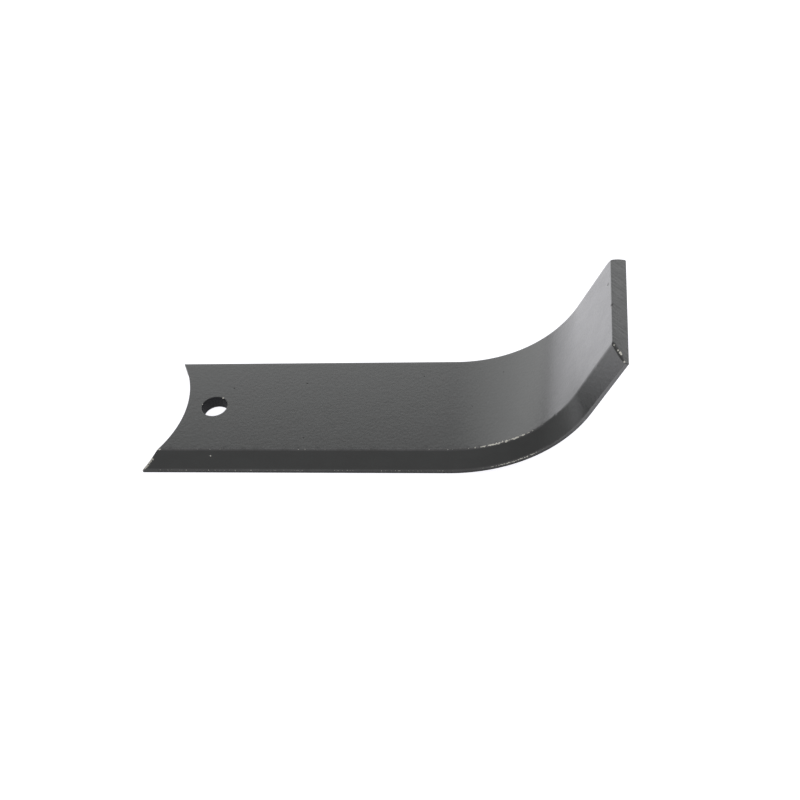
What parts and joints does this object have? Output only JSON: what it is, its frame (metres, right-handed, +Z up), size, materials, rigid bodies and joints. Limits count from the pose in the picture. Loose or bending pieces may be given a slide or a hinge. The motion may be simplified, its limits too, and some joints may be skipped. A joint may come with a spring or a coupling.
{
  "type": "rotary tiller blade",
  "caption": "Bevelled steel bar bent up into an open L, with a concave end that sits on a rotor tube and a bolt hole beside it.",
  "frame": {"origin": "centre of the bolt hole, on the flat underside of the shank", "axes": "+X along the shank from the bolt hole to the bend, +Z up through the bolt hole, the sharp edge towards -Y and the plain edge towards +Y; the leg turns up towards +Z"},
  "size_m": [0.2354, 0.07, 0.0732],
  "materials": {
    "paint": "black semi-gloss paint, chipped to bright steel along the edges"
  },
  "bodies": {
    "root": {"blade": "paint"}
  },
  "joints": []
}
